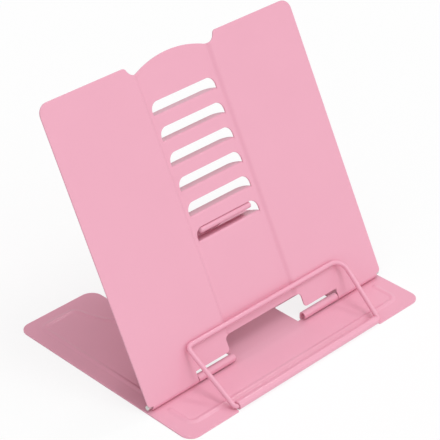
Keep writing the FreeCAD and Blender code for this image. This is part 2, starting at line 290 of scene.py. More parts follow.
def round_end(mesh: BMesh, place: Vector, heading: Vector, row: Sequence[Any]) -> None:
    """Closes a bead's section with a round end.

    Args:
        mesh: The mesh it draws in.
        place: The middle of the section.
        heading: The side that the round end goes to.
        row: The section's vertices and edges.
    """
    right = heading.cross(Z_AXIS)
    every_vert = [item for item in row if isinstance(item, BMVert)]
    verts = [vert for vert in every_vert if (vert.co - place).dot(right) > -SAME_PLACE]
    kept = set(verts)
    edges = [item for item in row if isinstance(item, BMEdge) and kept.issuperset(item.verts)]
    bmesh.ops.spin(
        mesh, geom=[*verts, *edges], cent=place, axis=Z_AXIS, dvec=Vector(),
        angle=math.pi, steps=ROUND_END_STEPS, use_merge=False, use_duplicate=False,
    )


def press_bead(mesh: BMesh, start: Vector, heading: Vector, width: float, rise: float) -> Turtle:
    """Starts a pressed bead with its round end, ready to be drawn along its line.

    Args:
        mesh: The mesh it draws in.
        start: The centre of the round end, on the plate's middle surface.
        heading: The direction that the bead runs in.
        width: The bead's whole width.
        rise: How far it stands up, negative for downwards.

    Returns:
        A turtle that pulls the bead's section.
    """
    right = heading.cross(Z_AXIS)
    half = width / 2
    old_verts, old_edges = set(mesh.verts), set(mesh.edges)
    first = mesh.verts.new(start - right * half)
    Turtle(mesh, first.co, right, Z_AXIS, [first]).forward(width, BEAD_STEPS)
    verts = [vert for vert in mesh.verts if vert not in old_verts]
    for vert in verts:
        vert.co.z += rise * (1 + math.cos(math.pi * (vert.co - start).length / half)) / 2
    row = [*verts, *(edge for edge in mesh.edges if edge not in old_edges)]
    round_end(mesh, start, -heading, row)
    return Turtle(mesh, start, heading, Z_AXIS, row)


def score(mesh: BMesh, start: float, radius: float, angle: float) -> None:
    """Cuts lines across a flat sheet where it will be bent, for a round bend.

    Args:
        mesh: The flat blank.
        start: The y at which the bend begins.
        radius: The radius of the middle surface.
        angle: The bend in degrees.
    """
    reach = radius * math.radians(angle)
    for number in range(BEND_STEPS + 1):
        cut_across(mesh, Y_AXIS * (start + reach * number / BEND_STEPS), Y_AXIS)
    bent = [v for v in mesh.verts if -SAME_PLACE <= v.co.y - start <= reach + SAME_PLACE]
    bmesh.ops.remove_doubles(mesh, verts=bent, dist=SHORTEST_EDGE)


def bend_over(mesh: BMesh, start: float, radius: float, angle: float) -> None:
    """Bends a flat sheet about X beyond a line, towards +Z.

    Args:
        mesh: The mesh to bend, scored for this bend.
        start: The y at which the bend begins.
        radius: The radius of the middle surface.
        angle: The bend in degrees.
    """
    total = math.radians(angle)
    for vert in mesh.verts:
        beyond = vert.co.y - start
        if beyond > 0:
            turned = min(beyond / radius, total)
            rest = beyond - turned * radius
            inner = radius - vert.co.z
            vert.co.y = start + inner * math.sin(turned) + rest * math.cos(turned)
            vert.co.z = radius - inner * math.cos(turned) + rest * math.sin(turned)


def even_shading(shown: bpy.types.Object) -> None:
    """Shades large faces flat and leaves the turn of the light to small ones beside them.

    Args:
        shown: The object to shade.
    """
    even = shown.modifiers.new("even_shading", "WEIGHTED_NORMAL")
    even.weight = SHADING_WEIGHT
    even.keep_sharp = False


# Shader nodes


class Wire:
    """A number's socket, on which arithmetic adds Math nodes."""

    def __init__(self, board: "Board", socket: bpy.types.NodeSocket | None) -> None:
        """Wraps a socket of a board."""
        self.board = board
        self.socket = socket

    def _math(self, operation: str, first: Any, second: Any) -> "Wire":
        """Adds a Math node.

        Args:
            operation: The node's operation.
            first: Its first value or wire.
            second: Its second value or wire.

        Returns:
            The node's output.
        """
        return self.board.node("ShaderNodeMath", {"operation": operation}, {0: first, 1: second})

    def __add__(self, other: Any) -> "Wire":
        """Adds a value or wire."""
        return self._math("ADD", self, other)

    __radd__ = __add__

    def __mul__(self, other: Any) -> "Wire":
        """Multiplies by a value or wire."""
        return self._math("MULTIPLY", self, other)

    __rmul__ = __mul__

    def __sub__(self, other: Any) -> "Wire":
        """Takes off a value or wire."""
        return self._math("SUBTRACT", self, other)

    def __rsub__(self, other: Any) -> "Wire":
        """Is taken off a value."""
        return self._math("SUBTRACT", other, self)

    def at_least(self, other: Any) -> "Wire":
        """The larger of this and a value or wire."""
        return self._math("MAXIMUM", self, other)


class Board:
    """The node tree of a material or a world."""

    def __init__(self, tree: bpy.types.NodeTree) -> None:
        """Empties a tree to work on."""
        self.tree = tree
        tree.nodes.clear()

    def node(
        self, kind: str, settings: dict[str, Any], inputs: dict[Any, Any], output: Any = 0,
    ) -> Wire:
        """Adds a node.

        Args:
            kind: The node's type.
            settings: Its properties, set before its sockets are touched.
            inputs: The values or wires of its input sockets, by name or number.
            output: The name or number of the output to return.

        Returns:
            The wanted output, or an empty wire from a node that has none.
        """
        made = self.tree.nodes.new(kind)
        for name, value in settings.items():
            setattr(made, name, value)
        for name, value in inputs.items():
            if isinstance(value, Wire):
                self.tree.links.new(value.socket, made.inputs[name])
            else:
                made.inputs[name].default_value = value
        return Wire(self, made.outputs[output] if len(made.outputs) else None)

    def noise(self, place: Wire, scale: float, detail: float, roughness: float = 0.5) -> Wire:
        """Smooth noise through space.

        Args:
            place: The coordinates that it reads.
            scale: Its waves per metre.
            detail: Its finer octaves.
            roughness: The strength of the finer octaves.

        Returns:
            The noise, from 0 to 1.
        """
        values = {"Vector": place, "Scale": scale, "Detail": detail, "Roughness": roughness}
        return self.node("ShaderNodeTexNoise", {}, values)

    def blend(self, share: Any, first: Any, second: Any) -> Wire:
        """Mixes two colours.

        Args:
            share: How much of the second there is.
            first: The first colour.
            second: The second colour.

        Returns:
            The mixed colour.
        """
        # sockets 6 and 7 are the colour pair of a Mix node, and its output 2 is their mixture
        colours = {0: share, 6: first, 7: second}
        return self.node("ShaderNodeMix", {"data_type": "RGBA"}, colours, 2)


@dataclass(frozen=True)
class PowderCoat:
    """A satin powder coat with a fine orange-peel surface."""

    name: str
    colour: Colour
    deep_colour: Colour
    cloud_scale: float = 26.0
    cloud_tint: float = 0.5
    cloud_gloss: float = 0.05
    peel_scale: float = 1300.0
    peel_roughness: float = 0.45
    peel_tint: float = 0.3
    peel_depth: float = 0.00002
    peel_strength: float = 0.35
    grit_scale: float = 6500.0
    grit_tint: float = 0.2
    grit_gloss: float = 0.06
    grit_relief: float = 0.25
    least_roughness: float = 0.345
    specular: float = 0.22
    gloss_layer: float = 0.3
    layer_roughness: float = 0.15

    def material(self) -> bpy.types.Material:
        """Makes the finish.

        Returns:
            The material.
        """
        made = bpy.data.materials.new(self.name)
        made.use_nodes = True
        board = Board(made.node_tree)
        place = board.node("ShaderNodeTexCoord", {}, {}, "Object")
        cloud = board.noise(place, self.cloud_scale, detail=2.0)
        peel = board.noise(place, self.peel_scale, detail=2.0, roughness=self.peel_roughness)
        grit = board.noise(place, self.grit_scale, detail=1.0)
        tint = cloud * self.cloud_tint + peel * self.peel_tint + grit * self.grit_tint
        gloss = cloud * self.cloud_gloss + grit * self.grit_gloss + self.least_roughness
        bump = board.node("ShaderNodeBump", {}, {
            "Strength": self.peel_strength, "Distance": self.peel_depth,
            "Height": peel + grit * self.grit_relief,
        })
        values = {
            "Base Color": board.blend(tint, (*self.deep_colour, 1), (*self.colour, 1)),
            "Roughness": gloss, "Normal": bump, "Specular IOR Level": self.specular,
            "Coat Weight": self.gloss_layer, "Coat Roughness": self.layer_roughness,
        }
        shader = board.node("ShaderNodeBsdfPrincipled", {}, values)
        board.node("ShaderNodeOutputMaterial", {}, {"Surface": shader})
        return made


@dataclass(frozen=True)
class DrawnSteel:
    """Bare steel with fine draw marks along X."""

    name: str
    colour: Colour
    dull_colour: Colour
    stretch: tuple[float, float, float] = (0.04, 1.0, 1.0)
    mark_scale: float = 5200.0
    mark_roughness: float = 0.6
    mark_tint: float = 0.45
    mark_gloss: float = 0.14
    mark_depth: float = 0.00001
    mark_strength: float = 0.3
    stain_scale: float = 240.0
    stain_tint: float = 0.55
    stain_gloss: float = 0.08
    least_roughness: float = 0.17

    def material(self) -> bpy.types.Material:
        """Makes the finish.

        Returns:
            The material.
        """
        made = bpy.data.materials.new(self.name)
        made.use_nodes = True
        board = Board(made.node_tree)
        place = board.node("ShaderNodeTexCoord", {}, {}, "Object")
        along = board.node("ShaderNodeMapping", {}, {"Vector": place, "Scale": self.stretch})
        marks = board.noise(along, self.mark_scale, detail=3.0, roughness=self.mark_roughness)
        stain = board.noise(place, self.stain_scale, detail=3.0)
        tint = marks * self.mark_tint + stain * self.stain_tint
        gloss = marks * self.mark_gloss + stain * self.stain_gloss + self.least_roughness
        bump = board.node("ShaderNodeBump", {}, {
            "Strength": self.mark_strength, "Distance": self.mark_depth, "Height": marks,
        })
        values = {
            "Base Color": board.blend(tint, (*self.dull_colour, 1), (*self.colour, 1)),
            "Metallic": 1.0, "Roughness": gloss, "Normal": bump,
        }
        shader = board.node("ShaderNodeBsdfPrincipled", {}, values)
        board.node("ShaderNodeOutputMaterial", {}, {"Surface": shader})
        return made


# Pieces


@dataclass(frozen=True)
class Stand:
    """Sizes that several pieces share, in millimetres and degrees."""

    half_width: float = 100.0
    front: float = -75.5
    rear: float = 75.5
    sheet: float = 1.0
    rim: float = 0.2
    knuckle: float = 2.06
    pin_radius: float = 1.5
    pin_outer: float = 99.6
    pin_inner: float = 35.0
    prop_pin_half: float = 39.4
    hinge_y: float = -39.5
    hinge_z: float = 3.76
    prop_axis_y: float = 56.5
    tube: float = 2.08
    tube_end: float = 60.0
    tilt: float = 62.08
    knuckle_outer: float = 60.0
    side_gap: float = 0.6
    cutout_half: float = 40.0
    channel_level: float = 0.16

    @property
    def middle(self) -> float:
        """The height of the base's middle surface."""
        return self.sheet / 2

    @property
    def tube_y(self) -> float:
        """The y of the front edge's roll."""
        return self.front + self.tube + self.middle

    @property
    def tube_z(self) -> float:
        """The height of the front edge's roll."""
        return self.tube + self.middle

    @property
    def panel_place(self) -> Matrix:
        """Takes the flat panel to its place, tilted about its hinge."""
        hinge = Matrix.Translation((0, self.hinge_y, self.hinge_z))
        return hinge @ Matrix.Rotation(math.radians(self.tilt), 4, "X")

    def on_panel(self, height: float, level: float) -> Vector:
        """A point at a height up the tilted panel and a level in front of its hinge axis."""
        return self.panel_place @ Vector((0, height, level))


@dataclass
class Piece:
    """One visible piece of the stand."""

    stand: Stand
    name: str
    node: str
    body: Body
    slot: Slot
    finish: bpy.types.Material

    def build(self, mesh: BMesh) -> Matrix:
        """Draws the piece.

        Args:
            mesh: An empty mesh to draw in, in millimetres.

        Returns:
            The matrix that takes the drawing to its place on the stand.
        """
        raise NotImplementedError

    def finish_shape(self, shown: bpy.types.Object) -> None:
        """Adds the modifiers that the piece needs."""

    def make(self) -> bpy.types.Object:
        """Builds and dresses the piece, and lets it ride on its body.

        Returns:
            The finished object.
        """
        mesh = bmesh.new()
        place = self.build(mesh)
        bmesh.ops.remove_doubles(mesh, verts=mesh.verts, dist=SAME_PLACE)
        bmesh.ops.recalc_face_normals(mesh, faces=mesh.faces)
        bmesh.ops.transform(mesh, matrix=Matrix.Scale(MILLIMETRE, 4) @ place, verts=mesh.verts)
        data = bpy.data.meshes.new(self.name)
        for face in mesh.faces:
            face.smooth = True
        mesh.to_mesh(data)
        mesh.free()
        data.materials.append(self.finish)
        shown = bpy.data.objects.new(self.name, data)
        bpy.context.scene.collection.objects.link(shown)
        self.finish_shape(shown)
        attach(shown, self.body.value)
        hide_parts(self.node)
        self.report(shown)
        return shown

    def report(self, shown: bpy.types.Object) -> None:
        """Logs the piece's faces, with its modifiers, and how it sits in its node's box.

        Args:
            shown: The finished object.
        """
        graph = bpy.context.evaluated_depsgraph_get()
        final = shown.evaluated_get(graph)
        low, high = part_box(self.node)
        outside = max(
            max(low[axis] - corner[axis], corner[axis] - high[axis])
            for corner in final.bound_box for axis in range(3)
        )
        faces, past = len(final.data.polygons), outside / MILLIMETRE
        LOG.info("%s: %d faces, %.2f mm past its node's box", self.name, faces, past)


@dataclass
class SheetPiece(Piece):
    """A piece bent from sheet steel, drawn as its middle surface."""

    rim_steps: int = 3
    rim_angle: float = 50.0

    def finish_shape(self, shown: bpy.types.Object) -> None:
        """Gives the sheet its thickness, rounded rims and even shading.

        Args:
            shown: The object of the piece.
        """
        wall = shown.modifiers.new("thickness", "SOLIDIFY")
        wall.thickness = self.stand.sheet * MILLIMETRE
        wall.offset = 0
        wall.use_even_offset = True
        wall.use_quality_normals = True
        rim = shown.modifiers.new("rims", "BEVEL")
        rim.width = self.stand.rim * MILLIMETRE
        rim.segments = self.rim_steps
        rim.limit_method = "ANGLE"
        rim.angle_limit = math.radians(self.rim_angle)
        rim.use_clamp_overlap = False
        even_shading(shown)


@dataclass
class BaseSheet(SheetPiece):
    """The base plate with its rolled front edge, hinge knuckles, windows and pressed bead."""

    knuckle_width: float = 30.0
    knuckle_bend: float = 1.2
    knuckle_turn: float = 225.0
    window_extra: float = 3.0
    window_depth: float = 20.5
    window_corner: float = 2.0
    corner: float = 7.5
    notch: float = 1.0
    cutout_front: float = 58.0
    cutout_corner: float = 8.5
    prop_knuckle_width: float = 13.0
    relief: float = 0.4
    tube_turn: float = 300.0
    bead_width: float = 4.6
    bead_rise: float = 0.6
    bead_side: float = 11.3
    bead_rear: float = 8.8
    bead_front: float = 10.9
    bead_corner: float = 5.0
    bead_gap: float = 8.0
    swing_radius: float = 63.0
    swing_inset: float = 1.1
    swing_facet: float = 3.0

    def root(self, axis_y: float) -> float:
        """Where the plate bends up into the knuckle round an axis."""
        return axis_y + self.stand.knuckle - self.knuckle_bend

    def draw_outline(self, mesh: BMesh) -> None:
        """Draws the right half of the blank's rim.

        Args:
            mesh: The mesh to draw in.
        """
        size = self.stand
        throat = size.tube_y + size.tube + size.middle + self.notch
        slit = size.tube_end + self.notch
        tab_outer = size.cutout_half - size.side_gap
        tab_inner = tab_outer - self.prop_knuckle_width
        root = self.root(size.prop_axis_y)
        pen(mesh, 0, size.tube_y, level=size.middle).along([
            (size.tube_end, size.tube_y, 0),
            (size.tube_end, throat, 0),
            (slit, throat, 0),
            (slit, size.front, self.notch),
            (size.half_width, size.front, self.corner),
            (size.half_width, size.rear, self.corner),
            (size.cutout_half, size.rear, self.cutout_corner),
            (size.cutout_half, root, 0),
            (tab_outer, root, 0),
            (tab_inner, root, 0),
            (tab_inner - self.relief, root, 0),
            (tab_inner - self.relief, self.cutout_front, 0),
            (0, self.cutout_front, 0),
        ])

    def draw_window(self, mesh: BMesh) -> None:
        """Draws the rim of the right window, with the edge that its knuckle grows from.

        Args:
            mesh: The mesh to draw in.
        """
        size = self.stand
        root = self.root(size.hinge_y)
        tab_inner = size.knuckle_outer - self.knuckle_width
        inner = tab_inner - self.window_extra
        rear = root + self.window_depth
        pen(mesh, size.knuckle_outer, root, level=size.middle).along([
            (tab_inner, root, 0),
            (inner, root, 0),
            (inner, rear, self.window_corner),
            (size.knuckle_outer, rear, self.window_corner),
            (size.knuckle_outer, root, 0),
        ])

    def press_front_bead(self, mesh: BMesh) -> None:
        """Presses the right half of the bead in front of the hinge.

        Args:
            mesh: The mesh to draw in.
        """
        size = self.stand
        side = size.half_width - self.bead_side
        front = size.front + self.bead_front
        start = Vector((side, size.hinge_y - self.bead_gap, size.middle))
        bead = press_bead(mesh, start, -Y_AXIS, self.bead_width, self.bead_rise)
        bead.forward(start.y - front - self.bead_corner).turn(self.bead_corner, -90)
        bead.forward(side - self.bead_corner)

    def press_rear_bead(self, mesh: BMesh) -> None:
        """Presses the right half of the bead behind the hinge, with its swing round the prop.

        Args:
            mesh: The mesh to draw in.
        """
        size = self.stand
        side = size.half_width - self.bead_side
        rear = size.rear - self.bead_rear
        corner = self.bead_corner
        swing_y = size.rear - self.swing_inset
        start = Vector((side, size.hinge_y + self.bead_gap, size.middle))
        drop = swing_y - (rear - corner)
        reach = math.sqrt((self.swing_radius + corner) ** 2 - drop ** 2)
        sweep = math.degrees(math.acos(drop / (self.swing_radius + corner)))
        bead = press_bead(mesh, start, Y_AXIS, self.bead_width, self.bead_rise)
        bead.forward(rear - corner - start.y).turn(corner, 90)
        bead.forward(side - corner - reach).turn(corner, sweep)
        bead.facet_angle = self.swing_facet
        bead.turn(self.swing_radius, -sweep)

    def build(self, mesh: BMesh) -> Matrix:
        """Draws the base.

        Args:
            mesh: An empty mesh to draw in.

        Returns:
            The matrix that takes the drawing to its place.
        """
        size = self.stand
        self.draw_outline(mesh)
        self.draw_window(mesh)
        self.press_front_bead(mesh)
        self.press_rear_bead(mesh)
        mirror_over_middle(mesh)
        fill_blank(mesh)
        front = edges_on(mesh, size.tube_y, -size.tube_end, size.tube_end)
        roll(mesh, front, -Y_AXIS).turn(size.tube, -self.tube_turn)
        inner = size.knuckle_outer - self.knuckle_width
        prop_outer = size.cutout_half - size.side_gap
        prop_inner = prop_outer - self.prop_knuckle_width
        for axis_y, low, high in (
            (size.hinge_y, inner, size.knuckle_outer),
            (size.hinge_y, -size.knuckle_outer, -inner),
            (size.prop_axis_y, prop_inner, prop_outer),
            (size.prop_axis_y, -prop_outer, -prop_inner),
        ):
            tab = roll(mesh, edges_on(mesh, self.root(axis_y), low, high), Y_AXIS)
            tab.turn(self.knuckle_bend, 90)
            tab.forward(size.hinge_z - size.middle - self.knuckle_bend)
            tab.turn(size.knuckle, self.knuckle_turn)
        return Matrix.Identity(4)


@dataclass
class PanelSheet(SheetPiece):
    """The tilted panel with its recessed channel, slots, ledges and rolled hinge edges."""

    height: float = 183.1
    corner: float = 7.0
    foot_corner: float = 2.5
    notch_height: float = 14.1
    skirt: float = 5.0
    lobe_x: float = 34.6
    lobe_radius: float = 2.2
    shoulder_x: float = 37.2
    dip_x: float = 29.0
    dip_drop: float = 5.9
    dip_radius: float = 6.0
    crest_rise: float = -0.3
    curl_end: float = 96.5
    curl_turn: float = 290.0
    channel_x: float = 31.8
    channel_depth: float = 1.9
    joggle_radius: float = 3.6
    joggle_angle: float = 37.0
    joggle_steps: int = 5
    slot_count: int = 6
    slot_pitch: float = 15.7
    first_slot: float = 71.2
    slot_height: float = 8.5
    slot_half: float = 25.5
    slot_corner: float = 5.5
    ledge_bend: float = 1.0
    ledge_reach: float = 7.9
    ledge_turn: float = 85.0
    ledge_corner_steps: int = 8

    def draw_outline(self, mesh: BMesh) -> None:
        """Draws the right half of the panel's rim.

        Args:
            mesh: The mesh to draw in.
        """
        size = self.stand
        mouth = size.knuckle_outer + size.side_gap
        step = self.lobe_x - self.lobe_radius
        bay = step - self.lobe_radius
        line = pen(mesh, 0, self.notch_height)
        line.forward(bay).turn(self.lobe_radius, -90)
        line.forward(self.notch_height - self.skirt - 2 * self.lobe_radius)
        line.turn(self.lobe_radius, 90).along([
            (mouth, self.skirt, 0),
            (mouth, 0, 0),
            (self.curl_end, 0, 0),
            (size.half_width, 0, self.foot_corner),
            (size.half_width, self.height, self.corner),
            (self.shoulder_x, self.height, 0),
        ])
        fall = self.shoulder_x - self.dip_x
        first_turn = 2 * math.atan2(self.dip_drop, fall)
        climb = self.dip_drop + self.crest_rise
        second_turn = 2 * math.atan2(climb, self.dip_x)
        shoulder_radius = fall / math.sin(first_turn) - self.dip_radius
        crest_radius = self.dip_x / math.sin(second_turn) - self.dip_radius
        first, second = math.degrees(first_turn), math.degrees(second_turn)
        line.turn(shoulder_radius, first).turn(self.dip_radius, -first - second)
        line.turn(crest_radius, second)

    def slot_root(self, number: int) -> float:
        """Where the sheet starts to bend into a slot's ledge."""
        return self.first_slot + self.slot_pitch * number + self.stand.middle - self.ledge_bend

    def draw_slot(self, mesh: BMesh, number: int) -> None:
        """Draws the right half of a slot's rim.

        Args:
            mesh: The mesh to draw in.
            number: The slot, from 0 for the lowest.
        """
        root = self.slot_root(number)
        top = self.first_slot + self.slot_pitch * number + self.slot_height
        pen(mesh, 0, root).along([
            (self.slot_half, root, 0),
            (self.slot_half, top, self.slot_corner),
            (0, top, 0),
        ])

    def joggle_runs(self) -> tuple[float, float]:
        """Works out the channel's side in section.

        Returns:
            How far inward each of its two arcs goes, and its straight slope between them.
        """
        turn = math.radians(self.joggle_angle)
        arc_drop = self.joggle_radius * (1 - math.cos(turn))
        slope_run = (self.channel_depth - 2 * arc_drop) / math.tan(turn)
        return self.joggle_radius * math.sin(turn), slope_run

    def joggle_depth(self, x: float) -> float:
        """Works out how far the sheet lies behind the wings.

        Args:
            x: A place in the channel, on its side or on a wing.

        Returns:
            The depth there.
        """
        inward = self.channel_x - abs(x)
        radius = self.joggle_radius
        turn = math.radians(self.joggle_angle)
        arc_run, slope_run = self.joggle_runs()
        if inward <= 0:
            return 0.0
        if inward < arc_run:
            return radius - math.sqrt(radius ** 2 - inward ** 2)
        if inward < arc_run + slope_run:
            return radius * (1 - math.cos(turn)) + (inward - arc_run) * math.tan(turn)
        left = max(0.0, 2 * arc_run + slope_run - inward)
        return self.channel_depth - radius + math.sqrt(radius ** 2 - left ** 2)

    def joggle(self, mesh: BMesh) -> None:
        """Sets the channel back from the wings.

        Args:
            mesh: The mesh to draw in.
        """
        turn = math.radians(self.joggle_angle)
        arc_run, slope_run = self.joggle_runs()
        stations = range(self.joggle_steps + 1)
        runs = [self.joggle_radius * math.sin(turn * n / self.joggle_steps) for n in stations]
        runs += [2 * arc_run + slope_run - run for run in runs]
        for run in runs:
            for side in (-1, 1):
                cut_across(mesh, X_AXIS * side * (self.channel_x - run), X_AXIS)
        bmesh.ops.remove_doubles(mesh, verts=mesh.verts, dist=SHORTEST_EDGE)
        for vert in mesh.verts:
            vert.co.z = self.stand.knuckle - self.joggle_depth(vert.co.x)

    def bend_ledge(self, mesh: BMesh, number: int) -> None:
        """Bends a slot's tab to the rear and rounds the corners of its free edge.

        Args:
            mesh: The mesh to draw in.
            number: The slot, from 0 for the lowest.
        """
        row = edges_on(mesh, self.slot_root(number), -self.slot_half, self.slot_half)
        tab = roll(mesh, row, Y_AXIS)
        tab.turn(self.ledge_bend, -self.ledge_turn).forward(self.ledge_reach)
        corners = [
            item for item in tab.drawn
            if isinstance(item, BMVert) and abs(abs(item.co.x) - self.slot_half) < SAME_PLACE
        ]
        bmesh.ops.bevel(
            mesh, geom=corners, offset=self.slot_corner, offset_type="OFFSET",
            segments=self.ledge_corner_steps, profile=0.5, affect="VERTICES",
            clamp_overlap=False, material=-1,
        )

    def build(self, mesh: BMesh) -> Matrix:
        """Draws the panel.

        Args:
            mesh: An empty mesh to draw in.

        Returns:
            The matrix that takes the drawing to its place.
        """
        size = self.stand
        self.draw_outline(mesh)
        for number in range(self.slot_count):
            self.draw_slot(mesh, number)
        mirror_over_middle(mesh)
        fill_blank(mesh)
        self.joggle(mesh)
        for number in range(self.slot_count):
            self.bend_ledge(mesh, number)
        mouth = size.knuckle_outer + size.side_gap
        for low, high in ((mouth, self.curl_end), (-self.curl_end, -mouth)):
            curl = roll(mesh, edges_on(mesh, 0, low, high), -Y_AXIS)
            curl.turn(size.knuckle, self.curl_turn)
        return size.panel_place


@dataclass
class PropSheet(SheetPiece):
    """The prop with its hinge curl, ribs, shoulders and tongue."""

    half: float = 25.8
    neck: float = 21.0
    shoulder: float = 2.0
    shoulder_drop: float = 2.0
    neck_corner: float = 1.0
    curl_turn: float = 290.0
    knee_radius: float = 4.0
    tongue: float = 10.0
    nose: float = 1.5
    nose_turn: float = 270.0
    nose_inset: float = 1.1
    dome_depth: float = 0.6
    dome_rings: int = 12
    nose_height: float = 77.6
    nose_behind: float = 2.0
    rib_x: float = 15.0
    rib_width: float = 5.0
    rib_rise: float = 0.9
    rib_margin: float = 9.0

    def lines(self) -> tuple[float, float, float]:
        """Works out the prop's side view.

        Returns:
            The plate's angle, the plate's length to the knee and the knee's bend.
        """
        size = self.stand
        front = size.channel_level + size.middle
        tongue_angle = size.tilt + 90
        out = Matrix.Rotation(math.radians(size.tilt), 3, "X") @ Z_AXIS
        up = Matrix.Rotation(math.radians(size.tilt), 3, "X") @ Y_AXIS
        tip = size.on_panel(self.nose_height, front - self.nose_behind) + up * self.nose
        knee = tip - out * self.tongue
        sight = knee - Vector((0, size.prop_axis_y, size.hinge_z))
        angle = math.degrees(math.atan2(sight.z, sight.y) + math.asin(size.knuckle / sight.length))
        return angle, math.sqrt(sight.length_squared - size.knuckle ** 2), tongue_angle - angle

    def close_nose(self, mesh: BMesh, centre: Vector, side: int) -> None:
        """Closes an end of the rolled nose with a shallow dome.

        Args:
            mesh: The mesh to draw in.
            centre: The middle of the roll's end.
            side: -1 for the left end and 1 for the right.
        """
        squash = Matrix.Diagonal((self.dome_depth / self.nose, 1, 1, 1))
        place = Matrix.Translation(centre) @ squash @ Matrix.Rotation(math.pi / 2, 4, "Y")
        around = round(360 / Turtle.facet_angle)
        ball = bmesh.ops.create_uvsphere(
            mesh, u_segments=around, v_segments=self.dome_rings, radius=self.nose, matrix=place,
        )["verts"]
        parts = [part for vert in ball for part in (vert, *vert.link_edges, *vert.link_faces)]
        bmesh.ops.bisect_plane(
            mesh, geom=list(dict.fromkeys(parts)), dist=SAME_PLACE, plane_co=centre,
            plane_no=X_AXIS * side, clear_inner=True,
        )

    def build(self, mesh: BMesh) -> Matrix:
        """Draws the prop, up its own plate.

        Args:
            mesh: An empty mesh to draw in.

        Returns:
            The matrix that takes the drawing to its place.
        """
        size = self.stand
        angle, length, knee_turn = self.lines()
        trim = self.knee_radius * math.tan(math.radians(knee_turn) / 2)
        knee = length - trim
        end = knee + self.knee_radius * math.radians(knee_turn) + self.tongue - trim
        pen(mesh, 0, 0).along([
            (self.half, 0, 0),
            (self.half, length - self.shoulder_drop, self.shoulder),
            (self.neck, length - self.shoulder_drop, self.neck_corner),
            (self.neck, end, self.nose_inset),
            (self.neck - self.nose_inset, end, 0),
            (0, end, 0),
        ])
        foot = Vector((self.rib_x, self.rib_margin, 0))
        rib = press_bead(mesh, foot, Y_AXIS, self.rib_width, -self.rib_rise)
        rib.forward(length - 2 * self.rib_margin)
        round_end(mesh, rib.place, Y_AXIS, rib.drawn)
        mirror_over_middle(mesh)
        fill_blank(mesh)
        score(mesh, knee, self.knee_radius, knee_turn)
        curl = roll(mesh, edges_on(mesh, 0, -self.half, self.half), -Y_AXIS)
        curl.turn(size.knuckle, -self.curl_turn)
        nose_half = self.neck - self.nose_inset
        nose = roll(mesh, edges_on(mesh, end, -nose_half, nose_half), Y_AXIS)
        nose.turn(self.nose, self.nose_turn)
        for side in (-1, 1):
            self.close_nose(mesh, Vector((side * nose_half, end, self.nose)), side)
        bend_over(mesh, knee, self.knee_radius, knee_turn)
        hinge = Matrix.Translation((0, size.prop_axis_y, size.hinge_z))
        stood_up = hinge @ Matrix.Rotation(math.radians(angle), 4, "X")
        return stood_up @ Matrix.Translation((0, 0, -size.knuckle))


@dataclass
class RoundPiece(Piece):
    """A piece of round wire or rod, with its cut ends eased."""

    ease: float = 0.3
    ease_steps: int = 3

    def ease_ends(self, mesh: BMesh) -> None:
        """Closes the open ends and eases the rims of both ends, the only many-sided faces.

        Args:
            mesh: The mesh of the piece.
        """
        rims = [edge for edge in mesh.edges if len(edge.link_faces) == 1]
        if rims:
            bmesh.ops.edgeloop_fill(mesh, edges=rims, mat_nr=0, use_smooth=True)
        ends = [edge for face in mesh.faces if len(face.verts) > 4 for edge in face.edges]
        bmesh.ops.bevel(
            mesh, geom=list(dict.fromkeys(ends)), offset=self.ease, offset_type="OFFSET",
            segments=self.ease_steps, profile=0.5, affect="EDGES", clamp_overlap=True,
            material=-1,
        )

    def finish_shape(self, shown: bpy.types.Object) -> None:
        """Keeps the flat ends flat in the shading."""
        even_shading(shown)


@dataclass
class HolderWire(RoundPiece):
    """The page holder, one wire bent into a loop whose ends turn in the rolled front edge."""

    radius: float = 1.5
    segments: int = 28
    end_reach: float = 16.0
    root_bend: float = 2.1
    length: float = 45.2
    left_corner: float = 3.5
    right_corner: float = 7.5
    right_splay: float = 8.3
    rest_gap: float = 0.25
    facet_length: float = 8.0

    def build(self, mesh: BMesh) -> Matrix:
        """Draws the wire flat.

        Args:
            mesh: An empty mesh to draw in.

        Returns:
            The matrix that leans the loop on the panel.
        """
        size = self.stand
        leg = size.tube_end + self.root_bend
        end = size.tube_end - self.end_reach
        section = Matrix.Translation((-end, 0, 0)) @ Matrix.Rotation(math.pi / 2, 4, "Y")
        ring = bmesh.ops.create_circle(
            mesh, cap_ends=False, radius=self.radius, segments=self.segments, matrix=section,
        )["verts"]
        loop = Turtle(mesh, Vector((-end, 0, 0)), -X_AXIS, Z_AXIS, [*ring, *mesh.edges])
        loop.facet_length = self.facet_length
        loop.along([
            (-leg, 0, self.root_bend),
            (-leg, self.length, self.left_corner),
            (leg + self.right_splay, self.length, self.right_corner),
            (leg, 0, self.root_bend),
            (end, 0, 0),
        ])
        self.ease_ends(mesh)
        pivot = Vector((0, size.tube_y, size.tube_z))
        drop = (size.panel_place.inverted() @ pivot).z
        face = size.knuckle + size.middle + self.radius + self.rest_gap
        lean = math.radians(size.tilt) - math.asin((drop - face) / self.length)
        return Matrix.Translation(pivot) @ Matrix.Rotation(lean, 4, "X")


@dataclass
class HingePin(RoundPiece):
    """A straight steel pin along X."""

    start: float = 0.0
    end: float = 0.0
    axis_y: float = 0.0
    segments: int = 40

    def build(self, mesh: BMesh) -> Matrix:
        """Draws the pin.

        Args:
            mesh: An empty mesh to draw in.

        Returns:
            The matrix that takes the drawing to its place.
        """
        size = self.stand
        middle = Vector(((self.start + self.end) / 2, self.axis_y, size.hinge_z))
        bmesh.ops.create_cone(
            mesh, cap_ends=True, cap_tris=False, segments=self.segments,
            radius1=size.pin_radius, radius2=size.pin_radius, depth=self.end - self.start,
            matrix=Matrix.Rotation(math.pi / 2, 4, "Y"),
        )
        self.ease_ends(mesh)
        return Matrix.Translation(middle)


# Studio


